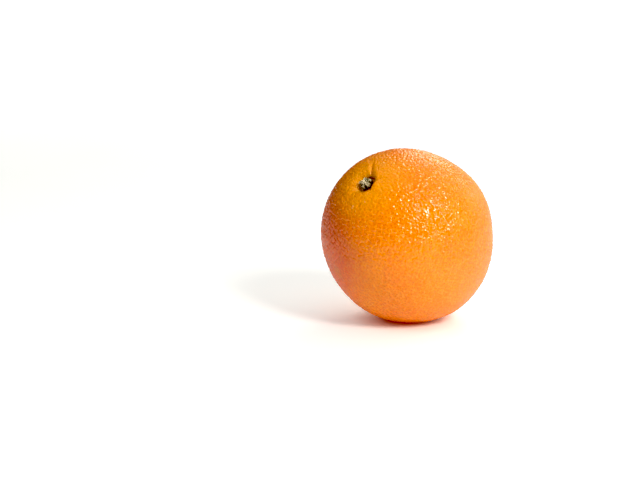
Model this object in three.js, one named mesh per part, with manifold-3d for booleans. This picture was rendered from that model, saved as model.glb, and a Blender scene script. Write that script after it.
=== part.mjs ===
// A whole navel orange, picked, lying on its side on the small flat that it has settled on.
//
// Millimetres, +Z up. The origin is on the surface that the fruit rests on, under the middle of
// the fruit's box. Three pieces come apart on a bench:
//   fruit      rind and flesh, grown as one piece, hollowed at the stem end, with a navel opposite
//   calyx      the dried star of sepals that stays in the hollow
//   stem_stub  the cut end of the stalk, standing in the middle of the calyx
//
// Every piece is drawn in the fruit's own frame, whose +Z runs from the navel to the stem end and
// whose origin is the middle of the fruit. A group then leans that frame over and sets it down.
// Angles about the stem axis are in degrees, counted from the side that ends up lowest at the
// stem end, and counter-clockwise seen from outside that end.

import * as THREE from "three";
import { mergeVertices } from "three/addons/utils/BufferGeometryUtils.js";
import Module from "manifold-3d";

// ---- the fruit as a whole ----
const EQUATOR_DIAMETER = 80; // across the fruit, square to its stem axis
const POLE_LENGTH = 84.6; // along the stem axis, before its two ends are hollowed
const REST_DIAMETER = 14; // the flat that it lies on

// ---- how it lies ----
const LEAN = 45.6; // of the stem axis, from upright
const HEADING = 224.8; // the way the stem end leans, from +X towards +Y

// ---- the calyx and the stalk's end ----
const SEAT_GAP = 0.3; // between neighbouring solids
const CALYX_DIAMETER = 6.2; // across the tips of the sepals
const CALYX_THICKNESS = 2.6;
const CALYX_ROUNDING = 0.2; // of its edges
const SEPALS = 5;
const CALYX_WALL = 0.7; // left round the stalk's hole, where the outline draws in between sepals
const STUB_DIAMETER = 2.6;
const STUB_STANDS = 0.5; // above the calyx
const STUB_CHAMFER = 0.3;

// ---- the hollow that they sit in ----
const HOLLOW_DEPTH = 3.6; // of its floor, below the pole
const HOLLOW_SLACK = 1.5; // extra room beside the calyx, on the slack side
const SLACK_SIDE = 75;
const TIGHT_SHOULDER = 2.6; // over which the rind rolls up out of the hollow, where it is puffed
const EASY_SHOULDER = 6.4; // the same, where it slopes
const EASY_SIDE = 275;

// Folds run out of the hollow: creases, and the puffed lobes of rind between them. Each starts at
// the angle from and curls round to the angle to. reach is its length, depth its depth beside the
// hollow (less than zero for a lobe), and width the half width of its valley or swell.
const FOLD_CURL = 3; // over this length a fold makes most of its turn
const FOLDS = [
  { from: 57, to: 60, reach: 5, depth: 1.5, width: 0.7 },
  { from: 108, to: 113, reach: 8, depth: 0.6, width: 0.8 },
  { from: 154, to: 197, reach: 11, depth: 1.3, width: 0.9 },
  { from: 238, to: 241, reach: 5.5, depth: 0.4, width: 0.8 },
  { from: 319, to: 288, reach: 7, depth: 1.0, width: 0.7 },
  { from: 341, to: 333, reach: 10, depth: 0.6, width: 1.6 },
  { from: 86, to: 88, reach: 9, depth: -0.9, width: 2.6 },
  { from: 132, to: 150, reach: 8, depth: -0.4, width: 2 },
  { from: 20, to: 20, reach: 8, depth: -0.4, width: 3 },
  { from: 300, to: 310, reach: 7, depth: -0.2, width: 1.2 },
];

// ---- the navel ----
const NAVEL_DIAMETER = 9.2; // its mouth
const NAVEL_DEPTH = 2.6; // of the furrow inside the lip, below the pole
const NAVEL_LIP = 4.5; // over which the rind swells round the mouth
const NAVEL_LIP_RISE = 0.3;
const NAVEL_MOUND = 1.5; // height of the small second fruit above the furrow

// Broad swellings and flats of the grown form: their middles, by the angle from the stem pole and
// the angle about the axis, the height of each, and its half width in degrees.
const SWELLINGS = [
  { fromPole: 97, about: 148, rise: 0.6, spread: 20 },
  { fromPole: 72, about: 168, rise: -0.3, spread: 24 },
  { fromPole: 120, about: 127, rise: -0.4, spread: 16 },
  { fromPole: 138, about: 96, rise: 0.3, spread: 22 },
  { fromPole: 85, about: 290, rise: 0.4, spread: 40 },
  { fromPole: 139, about: 47, rise: 1.2, spread: 26 },
  { fromPole: 112, about: 354, rise: 0.9, spread: 26 },
];

// ---- fineness of the meshes ----
const TURN_STEPS = 64; // about the stem axis
const SHOULDER_STEPS = 6;
const FOLD_STEPS = 8; // from the shoulder to the ends of the folds
const FLANK_STEPS = 20; // from there to the navel's lip
const NAVEL_STEPS = 10;

// ---- sizes that follow ----
const EQUATOR_RADIUS = EQUATOR_DIAMETER / 2;
const HALF_LENGTH = POLE_LENGTH / 2;
const CALYX_RADIUS = CALYX_DIAMETER / 2;
const STUB_RADIUS = STUB_DIAMETER / 2;
const FLOOR_RADIUS = CALYX_RADIUS + SEAT_GAP; // the level floor takes the calyx
const FLOOR_Z = HALF_LENGTH - HOLLOW_DEPTH;
const NAVEL_RADIUS = NAVEL_DIAMETER / 2;
const FOLDED_RADIUS = FLOOR_RADIUS + Math.max(...FOLDS.map(({ reach }) => reach));

const radians = THREE.MathUtils.degToRad;
const degrees = THREE.MathUtils.radToDeg;

// The turn from angle b to angle a, between -180 and 180 degrees.
function turnBetween(a, b) {
  return THREE.MathUtils.euclideanModulo(a - b + 180, 360) - 180;
}

// How near an angle is to a side of the fruit: 1 on that side, 0 on the opposite one.
function towards(side, angle) {
  return (1 + Math.cos(radians(angle - side))) / 2;
}

// Height of the plain spheroid above its equator, at a distance from the stem axis.
function spheroidHeight(radius) {
  return HALF_LENGTH * Math.sqrt(1 - (radius / EQUATOR_RADIUS) ** 2);
}

// How deep the folds cut at a distance from the stem axis and an angle about it.
function foldDepth(radius, angle) {
  const out = Math.max(radius - FLOOR_RADIUS, 0);
  let sum = 0;
  for (const { from, to, reach, depth, width } of FOLDS) {
    const middle = to - turnBetween(to, from) * Math.exp(-out / FOLD_CURL);
    const aside = radius * radians(turnBetween(angle, middle));
    const fade = 1 - THREE.MathUtils.smoothstep(out, 0, reach);
    sum += depth * fade * Math.exp(-((aside / width) ** 2));
  }
  return sum;
}

// A point of the hollow's wall. roll runs from 0 at the floor to 1 on the shoulder, round a
// quarter of an ellipse, so that the rind swells steeply beside the calyx and then levels out.
function shoulderPoint(roll, angle) {
  const inner = FLOOR_RADIUS + HOLLOW_SLACK * towards(SLACK_SIDE, angle);
  const width = THREE.MathUtils.lerp(TIGHT_SHOULDER, EASY_SHOULDER, towards(EASY_SIDE, angle));
  const turn = roll * (Math.PI / 2);
  const radius = inner + width * (1 - Math.cos(turn));
  const rise = Math.sin(turn);
  const top = spheroidHeight(radius) - foldDepth(radius, angle);
  return new THREE.Vector2(radius, THREE.MathUtils.lerp(FLOOR_Z, top, rise));
}

// The navel's section from the pole outwards: distance from the axis, and depth below the plain
// spheroid.
const navelSection = new THREE.SplineCurve([
  new THREE.Vector2(0, NAVEL_DEPTH - NAVEL_MOUND),
  new THREE.Vector2(NAVEL_RADIUS * 0.45, NAVEL_DEPTH - NAVEL_MOUND * 0.85),
  new THREE.Vector2(NAVEL_RADIUS * 0.82, NAVEL_DEPTH),
  new THREE.Vector2(NAVEL_RADIUS * 0.95, NAVEL_DEPTH * 0.6),
  new THREE.Vector2(NAVEL_RADIUS, 0.2),
  new THREE.Vector2(NAVEL_RADIUS + NAVEL_LIP * 0.3, -NAVEL_LIP_RISE),
  new THREE.Vector2(NAVEL_RADIUS + NAVEL_LIP, 0),
]);

// The fruit's outline at one angle about the axis, from the navel pole up to the stem pole.
function meridian(angle) {
  const navel = navelSection.getPoints(NAVEL_STEPS).map(({ x, y }) => {
    return new THREE.Vector2(Math.max(x, 0), y - spheroidHeight(x));
  });
  const shoulder = Array.from({ length: SHOULDER_STEPS + 1 }, (_, i) => {
    return shoulderPoint(1 - i / SHOULDER_STEPS, angle);
  });
  const start = Math.asin(navel[NAVEL_STEPS].x / EQUATOR_RADIUS);
  const folded = Math.PI - Math.asin(FOLDED_RADIUS / EQUATOR_RADIUS);
  const end = Math.PI - Math.asin(shoulder[0].x / EQUATOR_RADIUS);
  const flank = [];
  const addTo = (to, from, steps) => {
    for (let i = 1; i <= steps; i++) {
      const tilt = THREE.MathUtils.lerp(from, to, i / steps);
      const radius = EQUATOR_RADIUS * Math.sin(tilt);
      const dent = tilt > Math.PI / 2 ? foldDepth(radius, angle) : 0;
      flank.push(new THREE.Vector2(radius, -HALF_LENGTH * Math.cos(tilt) - dent));
    }
  };
  addTo(folded, start, FLANK_STEPS);
  addTo(end, folded, FOLD_STEPS);
  flank.pop(); // the shoulder starts with the same point
  return [...navel, ...flank, ...shoulder, new THREE.Vector2(0, FLOOR_Z)];
}

// How far the grown form stands off the spheroid in a direction from the fruit's middle.
function swelling(direction) {
  const middle = new THREE.Vector3();
  let height = 0;
  for (const { fromPole, about, rise, spread } of SWELLINGS) {
    middle.setFromSphericalCoords(1, radians(fromPole), radians(about));
    middle.set(middle.z, middle.x, middle.y); // that call takes +Y as the pole
    height += rise * Math.exp(-((degrees(middle.angleTo(direction)) / spread) ** 2));
  }
  return height;
}

// A lathe about +Z whose section changes with the angle. outline(angle) gives the section's
// points, from the bottom up.
function lathe(outline, steps) {
  const geometry = new THREE.LatheGeometry(outline(0), steps);
  const position = geometry.attributes.position;
  const count = position.count / (steps + 1);
  for (let step = 0; step <= steps; step++) {
    const angle = (360 * (step % steps)) / steps;
    outline(angle).forEach(({ x, y }, i) => {
      const index = step * count + i;
      position.setXYZ(index, x * Math.cos(radians(angle)), x * Math.sin(radians(angle)), y);
    });
  }
  return geometry;
}

// A closed geometry as a solid that can be cut, and a solid as a geometry again.
function solidOf(geometry) {
  const bare = new THREE.BufferGeometry();
  bare.setAttribute("position", geometry.attributes.position);
  bare.setIndex(geometry.index);
  const merged = mergeVertices(bare, 1e-4);
  const vertProperties = merged.attributes.position.array;
  const triVerts = new Uint32Array(merged.index.array);
  return new wasm.Manifold(new wasm.Mesh({ numProp: 3, vertProperties, triVerts }));
}

function geometryOf(solid) {
  const { vertProperties, triVerts } = solid.getMesh();
  const geometry = new THREE.BufferGeometry();
  geometry.setAttribute("position", new THREE.BufferAttribute(vertProperties, 3));
  geometry.setIndex(new THREE.BufferAttribute(triVerts, 1));
  geometry.computeVertexNormals();
  return geometry;
}

// The fruit before it has settled: the lathe, pushed out and in by the swellings.
function grownForm() {
  const geometry = lathe(meridian, TURN_STEPS);
  const position = geometry.attributes.position;
  const point = new THREE.Vector3();
  for (let i = 0; i < position.count; i++) {
    point.fromBufferAttribute(position, i);
    const direction = point.clone().normalize();
    point.addScaledVector(direction, swelling(direction));
    position.setXYZ(i, point.x, point.y, point.z);
  }
  return geometry;
}

// The dried calyx: a flat star with a hole for the stalk, its edges rounded over.
function calyxForm() {
  const star = new THREE.Shape();
  const holeRadius = STUB_RADIUS + SEAT_GAP;
  const outline = Array.from({ length: 2 * SEPALS }, (_, i) => {
    const reach = (i % 2 ? holeRadius + CALYX_WALL : CALYX_RADIUS) - CALYX_ROUNDING;
    const angle = (Math.PI * i) / SEPALS;
    return new THREE.Vector2(reach * Math.cos(angle), reach * Math.sin(angle));
  });
  star.moveTo(outline[0].x, outline[0].y);
  star.splineThru([...outline.slice(1), outline[0]]);
  const hole = new THREE.Path();
  hole.absarc(0, 0, holeRadius + CALYX_ROUNDING, 0, 2 * Math.PI, true);
  star.holes.push(hole);
  const geometry = new THREE.ExtrudeGeometry(star, {
    depth: CALYX_THICKNESS - 2 * CALYX_ROUNDING,
    bevelThickness: CALYX_ROUNDING,
    bevelSize: CALYX_ROUNDING,
    bevelSegments: 2,
    curveSegments: 8,
  });
  return geometry.translate(0, 0, CALYX_ROUNDING);
}

// The stalk's cut end: a short round post with a worn edge.
function stubForm() {
  const height = CALYX_THICKNESS + STUB_STANDS;
  const section = [
    new THREE.Vector2(0, 0),
    new THREE.Vector2(STUB_RADIUS, 0),
    new THREE.Vector2(STUB_RADIUS, height - STUB_CHAMFER),
    new THREE.Vector2(STUB_RADIUS - STUB_CHAMFER, height),
    new THREE.Vector2(0, height),
  ];
  return lathe(() => section, 20);
}

function named(name, geometry, material) {
  const mesh = new THREE.Mesh(geometry, material);
  mesh.name = name;
  return mesh;
}

const RIND = new THREE.MeshStandardMaterial({ color: 0xff8c0a, roughness: 0.42, metalness: 0 });
const SEPAL = new THREE.MeshStandardMaterial({ color: 0x8f8354, roughness: 0.8, metalness: 0 });
const STALK = new THREE.MeshStandardMaterial({ color: 0xd9c294, roughness: 0.85, metalness: 0 });

const wasm = await Module();
wasm.setup();

const stemFrame = new THREE.Group();
stemFrame.rotation.set(0, radians(LEAN), radians(HEADING), "ZYX");
stemFrame.updateMatrixWorld(true);

// The flat is sliced off the lowest side, as deep as it takes to be this wide on a ball of the
// fruit's size. The slice is made in the fruit's own frame, by a block that is turned to suit.
const whole = grownForm();
const leaning = whole.clone().applyMatrix4(stemFrame.matrixWorld);
leaning.computeBoundingBox();
const sliceDepth = EQUATOR_RADIUS - Math.sqrt(EQUATOR_RADIUS ** 2 - (REST_DIAMETER / 2) ** 2);
const restHeight = leaning.boundingBox.min.z + sliceDepth;
const slab = new THREE.BoxGeometry(2 * POLE_LENGTH, 2 * POLE_LENGTH, POLE_LENGTH);
slab.translate(0, 0, restHeight - POLE_LENGTH / 2);
slab.applyMatrix4(stemFrame.matrixWorld.clone().invert());

const fruit = named("fruit", geometryOf(solidOf(whole).subtract(solidOf(slab))), RIND);
const calyx = named("calyx", calyxForm(), SEPAL);
const stub = named("stem_stub", stubForm(), STALK);
const seat = FLOOR_Z + swelling(new THREE.Vector3(0, 0, 1)) + SEAT_GAP;
calyx.position.z = seat;
stub.position.z = seat;
stemFrame.add(fruit, calyx, stub);

// Set down with the flat on Z = 0 and the middle of the box over the origin.
const middle = leaning.boundingBox.getCenter(new THREE.Vector3());
stemFrame.position.set(-middle.x, -middle.y, -restHeight);

const orange = new THREE.Group();
orange.add(stemFrame);

export default orange;
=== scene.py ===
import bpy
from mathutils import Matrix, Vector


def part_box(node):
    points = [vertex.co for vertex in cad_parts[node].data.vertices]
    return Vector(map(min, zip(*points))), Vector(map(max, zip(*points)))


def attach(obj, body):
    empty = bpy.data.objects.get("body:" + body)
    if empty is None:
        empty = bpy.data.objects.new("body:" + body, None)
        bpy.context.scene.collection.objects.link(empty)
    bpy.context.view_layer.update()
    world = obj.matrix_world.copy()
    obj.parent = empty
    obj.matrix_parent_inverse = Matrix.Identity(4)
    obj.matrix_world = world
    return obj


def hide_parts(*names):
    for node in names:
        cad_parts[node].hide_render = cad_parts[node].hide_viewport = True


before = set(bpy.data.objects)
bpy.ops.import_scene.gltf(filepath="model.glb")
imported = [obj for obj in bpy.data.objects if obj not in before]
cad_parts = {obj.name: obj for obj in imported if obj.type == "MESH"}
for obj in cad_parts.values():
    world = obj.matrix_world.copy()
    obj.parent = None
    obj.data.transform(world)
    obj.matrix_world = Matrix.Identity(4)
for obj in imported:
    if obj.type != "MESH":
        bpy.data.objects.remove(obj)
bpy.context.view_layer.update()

# A whole navel orange, lying on the small flat that it has settled on.
#
# The fixed frame holds three plain solids: fruit, calyx and stem_stub. Each is replaced here by a
# finished piece in the same place: the peel with its oil glands, folds and navel, the shrivelled
# calyx, and the broken end of the stalk.
#
# Shapes are worked out in the fruit's own frame, whose +Z runs from the navel to the stem end.
# Angles about that axis are in degrees, counted from the side that lies lowest at the stem end,
# and counter-clockwise seen from outside that end. Lengths are in metres.

import math
from collections import namedtuple

import bmesh
import bpy
from bpy.props import FloatProperty, FloatVectorProperty, IntProperty, PointerProperty
from mathutils import Euler, Matrix, Vector, kdtree, noise

bl_info = {
    "name": "Navel Orange",
    "version": (1, 0, 0),
    "blender": (4, 5, 0),
    "location": "3D View > Sidebar > Orange",
    "description": "Grows the peel, calyx and stem stub of a navel orange around its fixed frame",
    "category": "Add Mesh",
}

MM = 0.001

# ---- how the fruit lies, as in the frame ----
LEAN = 45.6  # of the stem axis, from upright
HEADING = 224.8  # the way the stem end leans, from +X towards +Y

# ---- the hollow at the stem end ----
SEAT_GAP = 0.3 * MM
HOLLOW_DEPTH = 3.6 * MM
HOLLOW_SLACK = 1.5 * MM  # extra room beside the calyx, on the slack side
SLACK_SIDE = 75
TIGHT_SHOULDER = 2.6 * MM  # over which the rind rolls up out of the hollow, where it is puffed
EASY_SHOULDER = 6.4 * MM  # the same, where it slopes
EASY_SIDE = 275

# Folds run out of the hollow: creases, and the puffed lobes of rind between them. Each starts at
# one angle and curls round to another. A lobe's depth is less than zero.
Fold = namedtuple("Fold", "start end reach depth width")
FOLD_CURL = 3 * MM  # over this length a fold makes most of its turn
FOLDS = (
    Fold(57, 60, 5 * MM, 1.5 * MM, 0.7 * MM),
    Fold(108, 113, 8 * MM, 0.6 * MM, 0.8 * MM),
    Fold(154, 197, 11 * MM, 1.3 * MM, 0.9 * MM),
    Fold(238, 241, 5.5 * MM, 0.4 * MM, 0.8 * MM),
    Fold(319, 288, 7 * MM, 1.0 * MM, 0.7 * MM),
    Fold(341, 333, 10 * MM, 0.6 * MM, 1.6 * MM),
    Fold(86, 88, 9 * MM, -0.9 * MM, 2.6 * MM),
    Fold(132, 150, 8 * MM, -0.4 * MM, 2 * MM),
    Fold(20, 20, 8 * MM, -0.4 * MM, 3 * MM),
    Fold(300, 310, 7 * MM, -0.2 * MM, 1.2 * MM),
)

# ---- the navel ----
NAVEL_RADIUS = 4.6 * MM  # of its mouth
NAVEL_DEPTH = 2.6 * MM  # of the furrow inside the lip
NAVEL_LIP = 4.5 * MM  # over which the rind swells round the mouth
NAVEL_LIP_RISE = 0.3 * MM
NAVEL_MOUND = 1.5 * MM  # height of the small second fruit above the furrow
NAVEL_NUB = Vector((-1.3 * MM, 0.9 * MM))  # where the folds of the second fruit meet
NAVEL_FOLDS = 5

# Broad swellings and flats of the grown form: their middles, by the angle from the stem pole and
# the angle about the axis, the height of each, and its half width in degrees.
Swelling = namedtuple("Swelling", "from_pole about rise spread")
SWELLINGS = (
    Swelling(97, 148, 0.6 * MM, 20),
    Swelling(72, 168, -0.3 * MM, 24),
    Swelling(120, 127, -0.4 * MM, 16),
    Swelling(138, 96, 0.3 * MM, 22),
    Swelling(85, 290, 0.4 * MM, 40),
    Swelling(139, 47, 1.2 * MM, 26),
    Swelling(112, 354, 0.9 * MM, 26),
)

# ---- how the peel's mesh is laid over the form ----
FLOOR_EDGE = 5  # degrees from the stem pole that become the hollow's floor
SHOULDER_EDGE = 14  # and the end of its shoulder
EASE_EDGE = 40  # beyond this the mesh lies evenly
FINE_AT_STEM = (13, 8)  # degrees from each pole within which the mesh is made finer, in turn
FINE_AT_NAVEL = (12,)

GOLDEN_TURN = math.pi * (3 - math.sqrt(5))
GLAND_SHAKE = 0.34  # how far a gland strays from the even spiral, in spacings
HALF_GLAND_GAP = 0.85 * MM  # half the usual distance between neighbouring glands
SETTLE = 0.25 * MM  # height over which the peel eases onto the ground

# ---- where the skin's colour changes: angle from the stem pole, and angle about the axis ----
# Middle of a painted shade, with painted red reflected light, that darkens and reddens one flank.
PAINTED_SHADE_SPOT = (62, 322)
PAINTED_SHADE_OUT = 1.05  # the painted shade is centred this much further from the origin than the skin is
BLEMISH_SPOT = (67, 344)
NAVEL_EDGE = (4.1 * MM, 4.9 * MM)  # over which the navel's dried skin gives way to peel

# ---- the studio ----
WARM_WHITE = (1, 0.94, 0.8)
# Square lamps round the orange. Angles are in degrees, with azimuth 0 on the camera's side and 90
# on its right, distances and sizes in metres, and powers in watts.
Lamp = namedtuple("Lamp", "name azimuth elevation distance size power")
LAMPS = (
    Lamp("key", 36, 36, 0.8, 0.2, 5.0),
    Lamp("back", 160, 36, 0.9, 0.3, 1.5),
    Lamp("rim", 125, 24, 0.9, 0.25, 0.5),
    Lamp("side", -85, 30, 0.8, 0.1, 0.25),
)
SKY_SIDE = (0.8, 0.58, 0.15)  # the way to the brightest part of the surroundings
SENSOR_WIDTH = 36  # millimetres
FLOOR_HALF_SIDE = 3  # metres
# The floor glows a little, so that it looks white. Right under the orange the glow is faint and red: a
# painted contact shadow, with painted red light off the peel. It is brighter round the orange, and
# brightest far away.
PAINTED_CONTACT_SHADOW = (0.09, 0.015, 0.01)
NEAR_GLOW = (0.29, 0.3, 0.31)
FAR_GLOW = (0.95, 0.95, 0.95)
BLACK_LEVEL = 0.03  # tones darker than this are shown black


# ---------------------------------------------------------------- settings

def length(name, description, default):
    return FloatProperty(name=name, description=description, default=default, min=0, unit="LENGTH")


def colour(name, description, default):
    return FloatVectorProperty(
        name=name, description=description, default=default, size=3, min=0, max=1, subtype="COLOR"
    )


class PeelSettings(bpy.types.PropertyGroup):
    """Sizes and colours of the peel"""

    equator: length("Equator", "Diameter across the stem axis", 80 * MM)
    pole_length: length("Length", "Length along the stem axis, before the ends are hollowed", 84.6 * MM)
    cuts: IntProperty(name="Fineness", description="Faces along one side of the mesh", default=118)
    gland_spacing: length("Gland Spacing", "Distance between neighbouring oil glands", 1.7 * MM)
    gland_relief: length("Gland Relief", "How far a gland swells the peel", 0.38 * MM)
    lump_relief: length("Lump Relief", "Height of the wider unevenness of the rind", 0.12 * MM)
    ripe: colour("Ripe", "Colour of most of the peel", (0.93, 0.2, 0.001))
    golden: colour("Golden", "Colour of its yellower patches", (0.95, 0.25, 0.0015))
    speckle: colour("Speckle", "Colour of the fine lighter speckles", (1.0, 0.38, 0.014))
    pore: colour("Pore", "Colour at the bottom of an oil gland", (0.72, 0.13, 0.002))
    # The colour of a painted shade, with painted red reflected light, on one flank.
    painted_shade: colour("Painted Shade", "Colour of the deeper red side", (0.74, 0.07, 0.0001))
    pale: colour("Pale", "Colour of the yellower skin round the stem end", (0.98, 0.38, 0.012))
    green: colour("Green", "Colour left in the creases of the stem end", (0.42, 0.26, 0.02))
    navel: colour("Navel", "Colour of the dried second fruit in the navel", (0.55, 0.24, 0.05))


class StemSettings(bpy.types.PropertyGroup):
    """Sizes and colours of the calyx and the stalk's end"""

    calyx_diameter: length("Calyx", "Diameter across the sepals' tips", 6.2 * MM)
    calyx_height: length("Calyx Height", "Thickness of the dried calyx", 2.6 * MM)
    stub_diameter: length("Stalk", "Diameter of the stalk", 2.6 * MM)
    stub_stands: length("Stalk Stands", "Height of the stalk's end above the calyx", 0.5 * MM)
    sepals: IntProperty(name="Sepals", description="Number of sepals", default=5, min=3)
    sepal: colour("Sepal", "Colour of the dried sepals", (0.34, 0.3, 0.15))
    # The cleft colour is painted shade: laid dark in the clefts and on the low parts of the calyx and
    # the stalk's end.
    cleft: colour("Painted Cleft Shade", "Colour in the gaps between them", (0.05, 0.028, 0.012))
    # This pale colour is the broken stalk's own, and also a painted highlight on the highest parts of
    # the calyx and the stalk's end.
    pith_and_highlight: colour("Pith and Highlight", "Colour of the broken wood and pith", (0.9, 0.8, 0.55))


class StageSettings(bpy.types.PropertyGroup):
    """The camera and the studio"""

    elevation: FloatProperty(
        name="Elevation", description="Height angle of the view", default=math.radians(12),
        subtype="ANGLE",
    )
    distance: length("Distance", "From the camera to the orange", 0.7208)
    lens: FloatProperty(name="Lens", description="Focal length in millimetres", default=85)
    beside: FloatProperty(
        name="Beside", description="How far right of the middle the orange is framed, in widths",
        default=84.7 / 644,
    )
    above: FloatProperty(
        name="Above", description="How far above the middle it is framed, in widths",
        default=6.9 / 644,
    )


# ---------------------------------------------------------------- form of the fruit

def smooth(low, high, value):
    """0 up to low, 1 from high, and an S-shaped rise between them."""
    share = min(max((value - low) / (high - low), 0.0), 1.0)
    return share * share * (3 - 2 * share)


def mix(low, high, share):
    return low + (high - low) * share


def chance(spot):
    """An unchanging number from 0 to 1 for every whole-numbered place."""
    return (noise.cell(spot) + 1) / 2


def turn_between(a, b):
    """The turn from angle b to angle a, between -180 and 180 degrees."""
    return (a - b + 180) % 360 - 180


def towards(side, about):
    """How near an angle is to a side of the fruit: 1 on that side, 0 on the opposite one."""
    return (1 + math.cos(math.radians(about - side))) / 2


def direction_at(from_pole, about):
    tilt, turn = math.radians(from_pole), math.radians(about)
    return Vector((math.sin(tilt) * math.cos(turn), math.sin(tilt) * math.sin(turn), math.cos(tilt)))


class FruitForm:
    """The fruit's surface in its own frame, without its glands: a point for every direction."""

    def __init__(self, peel, stem):
        self.radius = peel.equator / 2
        self.half = peel.pole_length / 2
        self.floor_radius = stem.calyx_diameter / 2 + SEAT_GAP
        self.floor_z = self.half - HOLLOW_DEPTH
        self.swellings = [(direction_at(s.from_pole, s.about), s.rise, s.spread) for s in SWELLINGS]
        self.seat = self.floor_z + self.swelling(Vector((0, 0, 1))) + SEAT_GAP

    def spheroid_height(self, radius):
        return self.half * math.sqrt(max(1 - (radius / self.radius) ** 2, 0))

    def fold_depth(self, radius, about):
        """How deep the folds cut at a distance from the stem axis and an angle about it."""
        out = max(radius - self.floor_radius, 0)
        total = 0.0
        for fold in FOLDS:
            if out < fold.reach:
                middle = fold.end - turn_between(fold.end, fold.start) * math.exp(-out / FOLD_CURL)
                aside = radius * math.radians(turn_between(about, middle))
                fade = 1 - smooth(0, fold.reach, out)
                total += fold.depth * fade * math.exp(-((aside / fold.width) ** 2))
        return total

    def shoulder(self, roll, about):
        """Distance from the axis and height, from the hollow's floor (0) to the shoulder (1)."""
        inner = self.floor_radius + HOLLOW_SLACK * towards(SLACK_SIDE, about)
        width = mix(TIGHT_SHOULDER, EASY_SHOULDER, towards(EASY_SIDE, about))
        turn = roll * math.pi / 2
        radius = inner + width * (1 - math.cos(turn))
        top = self.spheroid_height(radius) - self.fold_depth(radius, about)
        return radius, mix(self.floor_z, top, math.sin(turn))

    def navel_depth(self, radius, about):
        """How far the navel end lies inside the plain spheroid; less than zero on its lip."""
        outer = NAVEL_RADIUS + NAVEL_LIP
        if radius > outer:
            return 0.0
        middle = NAVEL_RADIUS + 0.35 * NAVEL_LIP
        lip = smooth(0.95 * NAVEL_RADIUS, middle, radius) * (1 - smooth(middle, outer, radius))
        inside = 1 - smooth(0.8 * NAVEL_RADIUS, 1.03 * NAVEL_RADIUS, radius)
        if not inside:
            return -NAVEL_LIP_RISE * lip
        turn = math.radians(about)
        spot = Vector((radius * math.cos(turn), radius * math.sin(turn))) - NAVEL_NUB
        away = spot.length / NAVEL_RADIUS
        round_nub = math.atan2(spot.y, spot.x) + 1.4 * away
        lobes = abs(math.sin(round_nub * NAVEL_FOLDS / 2)) ** 0.6
        nub = math.exp(-((away / 0.14) ** 2))
        mound = NAVEL_MOUND * max(1 - (radius / (0.92 * NAVEL_RADIUS)) ** 2, 0) ** 0.7
        mound += (0.7 * (lobes - 1) * smooth(0, 0.3, away) + 0.5 * nub) * MM
        return inside * (NAVEL_DEPTH - mound) - NAVEL_LIP_RISE * lip

    def swelling(self, out):
        total = 0.0
        for middle, rise, spread in self.swellings:
            total += rise * math.exp(-((math.degrees(middle.angle(out)) / spread) ** 2))
        return total

    def point(self, direction):
        from_pole = math.degrees(math.acos(max(-1.0, min(1.0, direction.z))))
        about = math.degrees(math.atan2(direction.y, direction.x))
        if from_pole < FLOOR_EDGE:
            radius = self.shoulder(0, about)[0] * from_pole / FLOOR_EDGE
            height = self.floor_z
        elif from_pole < SHOULDER_EDGE:
            roll = (from_pole - FLOOR_EDGE) / (SHOULDER_EDGE - FLOOR_EDGE)
            radius, height = self.shoulder(roll, about)
        else:
            edge = math.degrees(math.asin(self.shoulder(1, about)[0] / self.radius))
            draw = (SHOULDER_EDGE - edge) * (1 - smooth(SHOULDER_EDGE, EASE_EDGE, from_pole))
            tilt = math.radians(from_pole - draw)
            radius = self.radius * math.sin(tilt)
            height = self.half * math.cos(tilt)
            if height > 0:
                height -= self.fold_depth(radius, about)
            else:
                height += self.navel_depth(radius, about)
        turn = math.radians(about)
        point = Vector((radius * math.cos(turn), radius * math.sin(turn), height))
        out = point.normalized()
        return point + out * self.swelling(out)


def stem_frame(form, stem):
    """The matrix that sets the fruit's own frame where the CAD stem stub says it is."""
    turn = Euler((0, math.radians(LEAN), math.radians(HEADING)), "XYZ").to_matrix().to_4x4()
    low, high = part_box("stem_stub")
    middle = Vector((0, 0, form.seat + (stem.calyx_height + stem.stub_stands) / 2))
    return Matrix.Translation((low + high) / 2 - turn @ middle) @ turn


# ---------------------------------------------------------------- the peel

def gland_directions(spacing, radius):
    """Directions of the oil glands: an even spiral over the fruit, each gland shaken a little off it to
    break up the rows.
    """
    count = int(4 * math.pi * radius ** 2 / (spacing ** 2 * math.sqrt(3) / 2))
    noise.seed_set(7)
    found = []
    for i in range(count):
        z = 1 - (2 * i + 1) / count
        ring = math.sqrt(1 - z * z)
        spot = Vector((ring * math.cos(i * GOLDEN_TURN), ring * math.sin(i * GOLDEN_TURN), z))
        shake = Vector(noise.random_unit_vector()) * GLAND_SHAKE * spacing / radius
        found.append((spot + shake).normalized())
    return found


def even_ball(cuts):
    """A ball of nearly even square faces, made from a cube, finer round both poles."""
    bm = bmesh.new()
    bmesh.ops.create_cube(bm, size=2)
    bmesh.ops.subdivide_edges(bm, edges=bm.edges[:], cuts=cuts - 1, use_grid_fill=True)
    for pole, rings in ((1, FINE_AT_STEM), (-1, FINE_AT_NAVEL)):
        for degrees in rings:
            reach = math.tan(math.radians(degrees)) * 4 / math.pi
            edges = [
                e for e in bm.edges
                if all(v.co.z * pole > 0.999 and v.co.xy.length < reach for v in e.verts)
            ]
            bmesh.ops.subdivide_edges(bm, edges=edges, cuts=1, use_grid_fill=True)
    return bm


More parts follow.
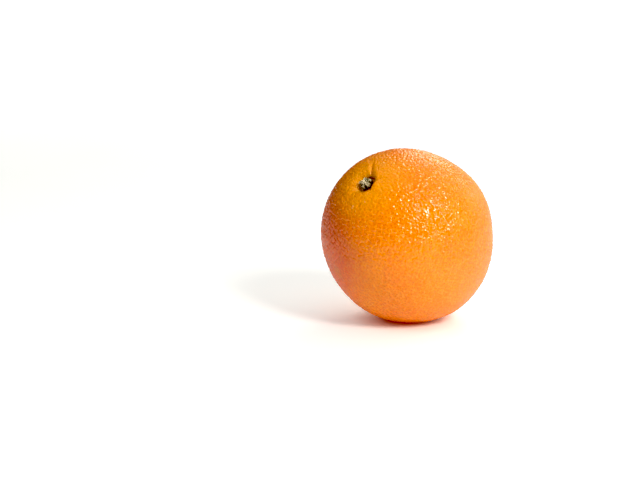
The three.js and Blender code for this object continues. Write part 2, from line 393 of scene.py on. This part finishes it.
def lay_out_map(bm):
    """Gives each side of the cube one sixth of the map, three across and two up."""
    layer = bm.loops.layers.uv.new("OFBake")
    gap = 0.004
    for face in bm.faces:
        middle = face.calc_center_median()
        axis = max(range(3), key=lambda i: abs(middle[i]))
        across, along = [i for i in range(3) if i != axis]
        row = 0 if middle[axis] > 0 else 1
        for loop in face.loops:
            u, v = (loop.vert.co[across] + 1) / 2, (loop.vert.co[along] + 1) / 2
            loop[layer].uv = (
                (axis + mix(gap * 3, 1 - gap * 3, u)) / 3,
                (row + mix(gap * 2, 1 - gap * 2, v)) / 2,
            )


def ball_direction(spot):
    """The direction of a point of the cube, spread so that its faces become nearly even."""
    return Vector([math.tan(c * math.pi / 4) for c in spot]).normalized()


def new_object(bm, name, material):
    mesh = bpy.data.meshes.new(name)
    bmesh.ops.recalc_face_normals(bm, faces=bm.faces[:])
    bm.to_mesh(mesh)
    bm.free()
    mesh.shade_smooth()
    mesh.materials.append(material)
    piece = bpy.data.objects.new(name, mesh)
    bpy.context.scene.collection.objects.link(piece)
    return piece


def grow_peel(peel, stem):
    form = FruitForm(peel, stem)
    place = stem_frame(form, stem)
    glands = [place @ form.point(d) for d in gland_directions(peel.gland_spacing, form.radius)]
    tree = kdtree.KDTree(len(glands))
    for i, gland in enumerate(glands):
        tree.insert(gland, i)
    tree.balance()

    bm = even_ball(peel.cuts)
    lay_out_map(bm)
    calm = {}  # how much of the gland relief each vertex keeps
    for vert in bm.verts:
        direction = ball_direction(vert.co)
        vert.co = place @ form.point(direction)
        from_pole = math.degrees(math.acos(max(-1, min(1, direction.z))))
        calm[vert] = smooth(6, 20, from_pole) * mix(0.3, 1, 1 - smooth(172, 174, from_pole))
    bm.normal_update()
    shift = {}
    for vert in bm.verts:
        near, next_near = tree.find_n(vert.co, 2)
        swell = 1 - (near[2] / max(next_near[2], 1e-6)) ** 2
        vigour = 0.75 + 0.5 * chance(glands[near[1]] * 1e5)
        lump = noise.noise(vert.co / (8 * MM)) + 0.3 * noise.noise(vert.co / (3.2 * MM))
        rise = peel.gland_relief * (swell * vigour - 0.5) * calm[vert] + peel.lump_relief * lump * 0.6
        shift[vert] = vert.normal * rise
    for vert, move in shift.items():
        vert.co += move
        vert.co.z = (vert.co.z + math.hypot(vert.co.z, SETTLE)) / 2
    piece = new_object(bm, "peel", peel_material(peel, place, form))

    mesh = piece.data
    nearest = [tree.find(face.center)[1] for face in mesh.polygons]
    mesh.attributes.new("gland", "FLOAT_VECTOR", "FACE")
    mesh.attributes.new("vigour", "FLOAT", "FACE")
    spots = [part for index in nearest for part in glands[index]]
    mesh.attributes["gland"].data.foreach_set("vector", spots)
    mesh.attributes["vigour"].data.foreach_set("value", [chance(glands[i] * 1e5) for i in nearest])
    return piece


# ---------------------------------------------------------------- calyx and stalk

def spun(section, steps):
    """A closed body of revolution about +Z. The section runs up the outside, axis to axis, or
    closes on itself."""
    bm = bmesh.new()
    verts = [bm.verts.new((radius, 0, height)) for radius, height in section]
    pairs = list(zip(verts, verts[1:]))
    if section[0][0] > 0:
        pairs.append((verts[-1], verts[0]))
    edges = [bm.edges.new(pair) for pair in pairs]
    bmesh.ops.spin(
        bm, geom=verts + edges, cent=(0, 0, 0), axis=(0, 0, 1), angle=2 * math.pi, steps=steps,
        use_merge=True,
    )
    bmesh.ops.remove_doubles(bm, verts=bm.verts[:], dist=0.001 * MM)
    return bm


def grow_calyx(peel, stem):
    form = FruitForm(peel, stem)
    hole = stem.stub_diameter / 2 + SEAT_GAP * 0.6
    rim = stem.calyx_diameter / 2
    top = stem.calyx_height
    section = [
        (hole, 0), (rim * 0.8, 0), (rim, 0.15 * top), (rim, 0.4 * top), (rim * 0.88, 0.72 * top),
        (mix(hole, rim, 0.5), top), (hole + 0.1 * MM, 0.9 * top), (hole, 0.6 * top),
    ]
    bm = spun(section, 80)
    bmesh.ops.subdivide_edges(bm, edges=bm.edges[:], cuts=2, smooth=1.0, use_grid_fill=True)
    painted_light_tones = []
    for vert in bm.verts:
        about = math.atan2(vert.co.y, vert.co.x)
        which = about * stem.sepals / (2 * math.pi)
        sepal = round(which)
        aside = abs(which - sepal) * 2  # 0 on the sepal's rib, 1 in the cleft beside it
        vigour = 0.8 + 0.35 * chance(Vector((sepal % stem.sepals * 3.7, 1, 2)))
        radius = vert.co.xy.length
        out = (radius - hole) / (rim - hole)
        cleft = smooth(0.45, 1, aside) * smooth(0.1, 0.6, out)
        crumple = noise.noise(vert.co / (0.55 * MM))
        reach = 1 - 0.3 * cleft * out + 0.1 * crumple * out
        rib = (1 - aside) ** 2
        lift = vigour * (1 - 0.55 * cleft) + 0.22 * rib * out + 0.2 * crumple
        vert.co.xy *= min(reach * mix(0.9, 1.05, vigour - 0.3), 1.04)
        if vert.co.z > 0.05 * top:
            vert.co.z *= max(lift, 0.3)
        # Painted light: lighter on the high ribs and towards the top, darker in the clefts and low down
        # as painted shade, with a random crumpled tone.
        painted_light_tones.append(min(max((1 - 1.2 * cleft) * (0.75 + 0.9 * crumple) * vert.co.z / top, 0), 1))
    place = stem_frame(form, stem) @ Matrix.Translation((0, 0, form.seat - 0.2 * MM))
    bmesh.ops.transform(bm, matrix=place, verts=bm.verts)
    piece = new_object(bm, "dried_calyx", calyx_material(stem))
    piece.data.attributes.new("ridge", "FLOAT", "POINT").data.foreach_set("value", painted_light_tones)
    return piece


def grow_stub(peel, stem):
    form = FruitForm(peel, stem)
    radius = stem.stub_diameter / 2
    top = stem.calyx_height + stem.stub_stands
    rings = 10
    section = [(0, 0), (radius, 0), (radius, 0.5 * top), (radius, 0.9 * top), (radius * 0.95, top)]
    section += [(radius * 0.95 * (1 - i / rings), top) for i in range(1, rings + 1)]
    bm = spun(section, 48)
    bmesh.ops.subdivide_edges(bm, edges=bm.edges[:], cuts=1, use_grid_fill=True)
    grain = Matrix.Rotation(math.radians(-65), 3, "Z")
    painted_light_tones = []
    for vert in bm.verts:
        spot = grain @ Vector((vert.co.x, vert.co.y, 0)) / (1.1 * MM)
        spot.x *= 0.55  # the splinters lie along one way of the grain
        distances, points = noise.voronoi(spot + Vector((0.3, 0.8, 0)))
        crack = 1 - smooth(0.02, 0.3, distances[1] - distances[0])
        step = chance(points[0] * 31)
        high = smooth(0.6, 1, vert.co.z / top)
        vert.co.z += (0.5 * (step - 0.5) - 0.7 * crack) * MM * high
        # Painted light: darker in the cracks and low down as painted shade, lighter towards the top,
        # with a random tone for each splinter.
        painted_light_tones.append(min(max((1 - crack) * (0.4 + 0.8 * step) * vert.co.z / top, 0), 1))
    place = stem_frame(form, stem) @ Matrix.Translation((0, 0, form.seat))
    bmesh.ops.transform(bm, matrix=place, verts=bm.verts)
    piece = new_object(bm, "stalk_end", stub_material(stem))
    piece.data.attributes.new("ridge", "FLOAT", "POINT").data.foreach_set("value", painted_light_tones)
    return piece


# ---------------------------------------------------------------- materials

def shared_group(name, inputs, outputs, fill):
    """The shader group of this name, built by fill the first time that it is asked for."""
    if name in bpy.data.node_groups:
        return bpy.data.node_groups[name]
    group = bpy.data.node_groups.new(name, "ShaderNodeTree")
    for socket, kind, default in inputs:
        item = group.interface.new_socket(socket, in_out="INPUT", socket_type=f"NodeSocket{kind}")
        if default is not None:
            item.default_value = default
    for socket, kind in outputs:
        group.interface.new_socket(socket, in_out="OUTPUT", socket_type=f"NodeSocket{kind}")
    given = group.nodes.new("NodeGroupInput")
    result = group.nodes.new("NodeGroupOutput")
    fill(Wiring(group), given.outputs, result.inputs)
    return group


class Wiring:
    """Short ways to add nodes to one tree. Each returns the output socket that it makes."""

    def __init__(self, tree):
        self.tree = tree

    def node(self, kind, **settings):
        node = self.tree.nodes.new(kind)
        for name, value in settings.items():
            setattr(node, name, value)
        return node

    def feed(self, socket, value):
        """Links the socket to another socket, or sets it to a plain value."""
        if isinstance(value, bpy.types.NodeSocket):
            self.tree.links.new(value, socket)
        else:
            socket.default_value = value

    def math(self, operation, *values):
        node = self.node("ShaderNodeMath", operation=operation)
        for socket, value in zip(node.inputs, values):
            self.feed(socket, value)
        return node.outputs[0]

    def vector_math(self, operation, *values, output=0):
        node = self.node("ShaderNodeVectorMath", operation=operation)
        for socket, value in zip(node.inputs, values):
            self.feed(socket, value)
        return node.outputs[output]

    def ramp(self, value, low, high, start=0.0, end=1.0):
        """Runs smoothly from start, where the value is low, to end, where it is high."""
        node = self.node("ShaderNodeMapRange", interpolation_type="SMOOTHSTEP")
        for socket, part in zip(node.inputs, (value, low, high, start, end)):
            self.feed(socket, part)
        return node.outputs[0]

    def blend(self, share, first, second):
        """A colour between two, by their share. A mix node's colours are its sockets 6 and 7."""
        node = self.node("ShaderNodeMix", data_type="RGBA")
        self.feed(node.inputs[0], share)
        self.feed(node.inputs[6], first)
        self.feed(node.inputs[7], second)
        return node.outputs[2]

    def tint(self, skin, mask, strength, colour):
        """The skin's colour, drawn towards another where the mask is."""
        return self.blend(self.math("MULTIPLY", mask, strength), skin, rgba(colour))

    def noise(self, where, size, detail=2.0, roughness=0.5):
        node = self.node("ShaderNodeTexNoise")
        self.feed(node.inputs["Vector"], where)
        self.feed(node.inputs["Scale"], 1 / size)
        self.feed(node.inputs["Detail"], detail)
        self.feed(node.inputs["Roughness"], roughness)
        return node.outputs[0]

    def place(self):
        return self.node("ShaderNodeTexCoord").outputs["Object"]

    def attribute(self, name, output="Fac"):
        return self.node("ShaderNodeAttribute", attribute_name=name).outputs[output]

    def group(self, group, **values):
        node = self.node("ShaderNodeGroup", node_tree=group)
        for name, value in values.items():
            self.feed(node.inputs[name.replace("_", " ")], value)
        return node

    def bump(self, height):
        """A normal from a height in metres."""
        node = self.node("ShaderNodeBump")
        node.inputs["Distance"].default_value = 1
        self.feed(node.inputs["Height"], height)
        return node.outputs[0]


def fill_glands(w, given, result):
    """A crater at the gland's place, with a low dome of peel sloping away round it."""
    away = w.vector_math("DISTANCE", given["Place"], given["Gland"], output=1)
    size = w.math("MULTIPLY", given["Radius"], w.ramp(given["Vigour"], 0, 1, 0.7, 1.3))
    share = w.math("DIVIDE", away, size)
    pit = w.ramp(share, 0.0, 1.4, 1.0, 0.0)
    rim = w.math("MULTIPLY", w.ramp(share, 0.7, 1.5), w.ramp(share, 1.5, 2.4, 1.0, 0.0))
    crater = w.math("SUBTRACT", w.math("MULTIPLY", rim, 0.3), pit)
    crater = w.math("MULTIPLY", crater, given["Depth"])
    dome = w.math("POWER", w.math("DIVIDE", away, HALF_GLAND_GAP), 2)
    dome = w.math("MULTIPLY", dome, given["Swell"])
    w.feed(result["Height"], w.math("SUBTRACT", crater, dome))
    w.feed(result["Pit"], pit)


def gland_group():
    """Craters of the oil glands, from the gland that each face of the peel belongs to."""
    return shared_group(
        "Oil Glands",
        [("Place", "Vector", None), ("Gland", "Vector", None), ("Vigour", "Float", 0.5),
         ("Radius", "Float", 0.4 * MM), ("Depth", "Float", 0.1 * MM), ("Swell", "Float", 0.08 * MM)],
        [("Height", "Float"), ("Pit", "Float")],
        fill_glands,
    )


def fill_spot(w, given, result):
    away = w.vector_math("DISTANCE", given["Place"], given["Middle"], output=1)
    wobble = w.math("SUBTRACT", w.noise(given["Place"], 3 * MM, 3), 0.5)
    wobble = w.math("MULTIPLY", wobble, w.math("MULTIPLY", given["Unevenness"], 2))
    mask = w.ramp(w.math("ADD", away, wobble), given["Inner"], given["Outer"], 1.0, 0.0)
    w.feed(result["Mask"], mask)


def spot_group():
    """A soft round mask about a point, its edge made uneven."""
    return shared_group(
        "Uneven Spot",
        [("Place", "Vector", None), ("Middle", "Vector", None), ("Inner", "Float", 1 * MM),
         ("Outer", "Float", 5 * MM), ("Unevenness", "Float", 1 * MM)],
        [("Mask", "Float")],
        fill_spot,
    )


def fill_grain(w, given, result):
    size = w.node("ShaderNodeCombineXYZ")
    for socket in size.inputs:
        w.feed(socket, given["Size"])
    scaled = w.vector_math("DIVIDE", given["Place"], size.outputs[0])
    coarse = w.noise(scaled, 1.0, 3)
    fine = w.noise(scaled, 0.25, 2)
    shade = w.math("ADD", w.math("MULTIPLY", coarse, 0.65), w.math("MULTIPLY", fine, 0.35))
    w.feed(result["Shade"], w.ramp(shade, 0.35, 0.65))
    w.feed(result["Height"], w.math("MULTIPLY", shade, given["Depth"]))


def grain_group():
    """Dry woody grain: a fine fibre and a coarser crumple, as a shade and a height."""
    return shared_group(
        "Dry Grain",
        [("Place", "Vector", None), ("Size", "Float", 0.4 * MM), ("Depth", "Float", 0.04 * MM)],
        [("Shade", "Float"), ("Height", "Float")],
        fill_grain,
    )


def new_material(name):
    material = bpy.data.materials.new(name)
    material.use_nodes = True
    shader = material.node_tree.nodes["Principled BSDF"]
    return material, Wiring(material.node_tree), shader


def rgba(tint):
    return (*tint, 1.0)


def peel_material(peel, place, form):
    material, w, shader = new_material("peel")
    here = w.place()

    def spot(middle, inner, outer, unevenness):
        group = w.group(
            spot_group(), Place=here, Middle=tuple(middle), Inner=inner, Outer=outer,
            Unevenness=unevenness,
        )
        return group.outputs["Mask"]

    stem_spot = place @ Vector((0, 0, form.seat))
    navel_spot = place @ form.point(Vector((0, 0, -1)))
    painted_shade_spot = place @ form.point(direction_at(*PAINTED_SHADE_SPOT)) * PAINTED_SHADE_OUT
    blemish_spot = place @ form.point(direction_at(*BLEMISH_SPOT))
    glands = w.group(
        gland_group(), Place=here, Gland=w.attribute("gland", "Vector"), Vigour=w.attribute("vigour")
    )

    # broad patches, a painted shade with painted red reflected light on one flank, and fine lighter
    # speckles that are fewer on that flank
    patches = w.ramp(w.noise(here, 26 * MM, 3, 0.55), 0.3, 0.7)
    skin = w.blend(patches, rgba(peel.ripe), rgba(peel.golden))
    # A painted shade, with painted red reflected light, over one flank.
    painted_shade = spot(painted_shade_spot, 14 * MM, 40 * MM, 2 * MM)
    skin = w.tint(skin, painted_shade, 0.85, peel.painted_shade)
    mottle = w.ramp(w.noise(here, 1.1 * MM, 3, 0.6), 0.4, 0.65, 0.0, 0.5)
    mottle = w.math("MULTIPLY", mottle, w.ramp(painted_shade, 0, 1, 1.0, 0.35))
    skin = w.blend(mottle, skin, rgba(peel.speckle))
    skin = w.tint(skin, glands.outputs["Pit"], 0.8, peel.pore)

    # the two ends, and a small green blemish
    skin = w.tint(skin, spot(stem_spot, 9 * MM, 25 * MM, 2 * MM), 0.65, peel.pale)
    skin = w.tint(skin, spot(stem_spot, 3 * MM, 9 * MM, 2 * MM), 0.35, peel.green)
    skin = w.tint(skin, spot(blemish_spot, 0.5 * MM, 6 * MM, 2 * MM), 0.22, peel.green)
    skin = w.tint(skin, spot(navel_spot, *NAVEL_EDGE, 0.4 * MM), 0.85, peel.navel)
    w.feed(shader.inputs["Base Color"], skin)

    w.feed(shader.inputs["Roughness"], w.ramp(w.noise(here, 4 * MM, 4), 0.3, 0.7, 0.17, 0.27))
    shader.inputs["Specular IOR Level"].default_value = 0.58
    shader.inputs["Subsurface Weight"].default_value = 0.12
    shader.inputs["Subsurface Radius"].default_value = (1.0, 0.35, 0.08)
    shader.inputs["Subsurface Scale"].default_value = 1.6 * MM
    grain = w.math("MULTIPLY", w.noise(here, 0.45 * MM, 3, 0.6), 0.01 * MM)
    w.feed(shader.inputs["Normal"], w.bump(w.math("ADD", glands.outputs["Height"], grain)))
    return material


def calyx_material(stem):
    material, w, shader = new_material("calyx")
    here = w.place()
    grain = w.group(grain_group(), Place=here, Size=0.5 * MM, Depth=0.08 * MM)
    # Painted light and grain: the dark cleft colour as painted shade where the calyx is cleft or low,
    # the pale colour as a painted highlight on its high ribs, broken by the grain.
    painted_light_and_grain = w.math("MULTIPLY", w.ramp(w.attribute("ridge"), 0.1, 0.75), grain.outputs["Shade"])
    skin = w.blend(w.ramp(painted_light_and_grain, 0.0, 0.5), rgba(stem.cleft), rgba(stem.sepal))
    skin = w.blend(w.ramp(painted_light_and_grain, 0.35, 0.9), skin, rgba(stem.pith_and_highlight))
    w.feed(shader.inputs["Base Color"], skin)
    w.feed(shader.inputs["Roughness"], w.ramp(grain.outputs["Shade"], 0, 1, 0.9, 0.7))
    w.feed(shader.inputs["Normal"], w.bump(grain.outputs["Height"]))
    return material


def stub_material(stem):
    material, w, shader = new_material("stem_stub")
    here = w.place()
    grain = w.group(grain_group(), Place=here, Size=0.35 * MM, Depth=0.06 * MM)
    shade = w.ramp(grain.outputs["Shade"], 0, 1, 0.6, 1)
    # Painted light and grain: the dark cleft colour as painted shade in the cracks and low down, the
    # pale colour on the high splinters, partly their own and partly a painted highlight, broken by the
    # grain.
    painted_light_and_grain = w.math("MULTIPLY", w.ramp(w.attribute("ridge"), 0.1, 0.8), shade)
    skin = w.blend(w.ramp(painted_light_and_grain, 0.0, 0.45), rgba(stem.cleft), rgba(stem.sepal))
    skin = w.blend(w.ramp(painted_light_and_grain, 0.3, 0.7), skin, rgba(stem.pith_and_highlight))
    w.feed(shader.inputs["Base Color"], skin)
    w.feed(shader.inputs["Roughness"], w.ramp(grain.outputs["Shade"], 0, 1, 0.9, 0.75))
    w.feed(shader.inputs["Normal"], w.bump(grain.outputs["Height"]))
    return material


def floor_material():
    material, w, shader = new_material("studio_floor")
    w.feed(shader.inputs["Base Color"], (0.86, 0.91, 1, 1))
    shader.inputs["Emission Strength"].default_value = 1
    w.feed(shader.inputs["Roughness"], w.ramp(w.noise(w.place(), 0.05, 3), 0, 1, 0.6, 0.75))
    away = w.vector_math("LENGTH", w.place(), output=1)
    # The glow right under the orange is a painted contact shadow with painted red light off the peel;
    # round it the floor glows evenly white.
    glow = w.blend(w.ramp(away, 0.008, 0.03), rgba(PAINTED_CONTACT_SHADOW), rgba(NEAR_GLOW))
    glow = w.blend(w.ramp(away, 0.4, 1.6), glow, rgba(FAR_GLOW))
    w.feed(shader.inputs["Emission Color"], glow)
    return material


# ---------------------------------------------------------------- the studio

def aim(thing, spot, direction):
    """Sets a lamp or camera at spot, looking against direction."""
    thing.location = spot
    thing.rotation_euler = direction.to_track_quat("Z", "Y").to_euler()
    bpy.context.scene.collection.objects.link(thing)


def softbox(lamp, middle):
    turn, rise = math.radians(lamp.azimuth), math.radians(lamp.elevation)
    direction = Vector((
        math.sin(turn) * math.cos(rise), -math.cos(turn) * math.cos(rise), math.sin(rise)
    ))
    light = bpy.data.lights.new(lamp.name, "AREA")
    light.size = lamp.size
    light.energy = lamp.power
    light.color = WARM_WHITE
    aim(bpy.data.objects.new(lamp.name, light), middle + direction * lamp.distance, direction)


def set_camera(stage, middle):
    """Looks at the orange from a little above it, and frames it right of the middle."""
    rise = stage.elevation
    back = Vector((0, -math.cos(rise), math.sin(rise)))
    up = Vector((0, math.sin(rise), math.cos(rise)))
    camera = bpy.data.cameras.new("camera")
    camera.lens = stage.lens
    camera.sensor_width = SENSOR_WIDTH
    width = stage.distance * camera.sensor_width / stage.lens
    target = middle - (Vector((1, 0, 0)) * stage.beside + up * stage.above) * width
    viewer = bpy.data.objects.new("camera", camera)
    aim(viewer, target + back * stage.distance, back)
    bpy.context.scene.camera = viewer


def set_sky():
    """A white studio: white to the eye, and as a light brightest behind on the right and above."""
    world = bpy.data.worlds.new("studio")
    world.use_nodes = True
    bpy.context.scene.world = world
    w = Wiring(world.node_tree)
    background = world.node_tree.nodes["Background"]
    way = w.node("ShaderNodeTexCoord").outputs["Generated"]
    split = w.node("ShaderNodeSeparateXYZ")
    w.feed(split.inputs[0], way)
    facing = w.vector_math("DOT_PRODUCT", way, SKY_SIDE, output=1)
    right = w.ramp(facing, 0.3, 0.95, 0.0, 0.8)
    above = w.ramp(split.outputs["Z"], 0.5, 0.95, 0.0, 0.8)
    behind = w.ramp(split.outputs["Y"], 0.2, 0.9, 0.0, 0.15)
    light = w.math("ADD", w.math("ADD", right, above), behind)
    seen = w.node("ShaderNodeLightPath").outputs["Is Camera Ray"]
    w.feed(background.inputs["Color"], w.blend(seen, rgba(WARM_WHITE), (1, 1, 1, 1)))
    w.feed(background.inputs["Strength"], w.math("MAXIMUM", seen, light))


def set_stage(stage):
    low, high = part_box("fruit")
    middle = (low + high) / 2
    set_camera(stage, middle)
    set_sky()
    for lamp in LAMPS:
        softbox(lamp, middle)
    bm = bmesh.new()
    bmesh.ops.create_grid(bm, x_segments=4, y_segments=4, size=FLOOR_HALF_SIDE)
    floor = new_object(bm, "floor", floor_material())
    tones = bpy.context.scene.view_settings
    tones.view_transform = "Standard"
    tones.use_curve_mapping = True
    tones.curve_mapping.black_level = (BLACK_LEVEL, BLACK_LEVEL, BLACK_LEVEL)
    tones.curve_mapping.update()


# ---------------------------------------------------------------- operators and panel

class ORANGE_OT_grow_peel(bpy.types.Operator):
    """Grows the peel, with its oil glands, stem hollow and navel, over the fruit"""

    bl_idname = "orange.grow_peel"
    bl_label = "Grow Peel"

    def execute(self, context):
        piece = grow_peel(context.scene.orange_peel, context.scene.orange_stem)
        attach(piece, "root")
        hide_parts("fruit")
        return {"FINISHED"}


class ORANGE_OT_grow_stem(bpy.types.Operator):
    """Grows the shrivelled calyx and the stalk's broken end in the hollow"""

    bl_idname = "orange.grow_stem"
    bl_label = "Grow Calyx and Stalk"

    def execute(self, context):
        peel, stem = context.scene.orange_peel, context.scene.orange_stem
        for piece, node in ((grow_calyx(peel, stem), "calyx"), (grow_stub(peel, stem), "stem_stub")):
            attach(piece, "root")
            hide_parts(node)
        return {"FINISHED"}


class ORANGE_OT_set_stage(bpy.types.Operator):
    """Sets the camera, the lamps and the pale floor"""

    bl_idname = "orange.set_stage"
    bl_label = "Set Stage"

    def execute(self, context):
        set_stage(context.scene.orange_stage)
        return {"FINISHED"}


class ORANGE_PT_panel(bpy.types.Panel):
    """Lists the pieces of the orange and its stage"""

    bl_idname = "ORANGE_PT_panel"
    bl_label = "Navel Orange"
    bl_space_type = "VIEW_3D"
    bl_region_type = "UI"
    bl_category = "Orange"

    def draw(self, context):
        for operator in OPERATORS:
            self.layout.operator(operator.bl_idname)


OPERATORS = (ORANGE_OT_set_stage, ORANGE_OT_grow_peel, ORANGE_OT_grow_stem)
SETTINGS = {"orange_peel": PeelSettings, "orange_stem": StemSettings, "orange_stage": StageSettings}


def register():
    for cls in (*SETTINGS.values(), *OPERATORS, ORANGE_PT_panel):
        bpy.utils.register_class(cls)
    for name, cls in SETTINGS.items():
        setattr(bpy.types.Scene, name, PointerProperty(type=cls))


def unregister():
    for name in SETTINGS:
        delattr(bpy.types.Scene, name)
    for cls in (ORANGE_PT_panel, *reversed(OPERATORS), *SETTINGS.values()):
        bpy.utils.unregister_class(cls)


def main():
    register()
    bpy.ops.orange.set_stage()
    bpy.ops.orange.grow_peel()
    bpy.ops.orange.grow_stem()


if __name__ == "__main__":
    main()
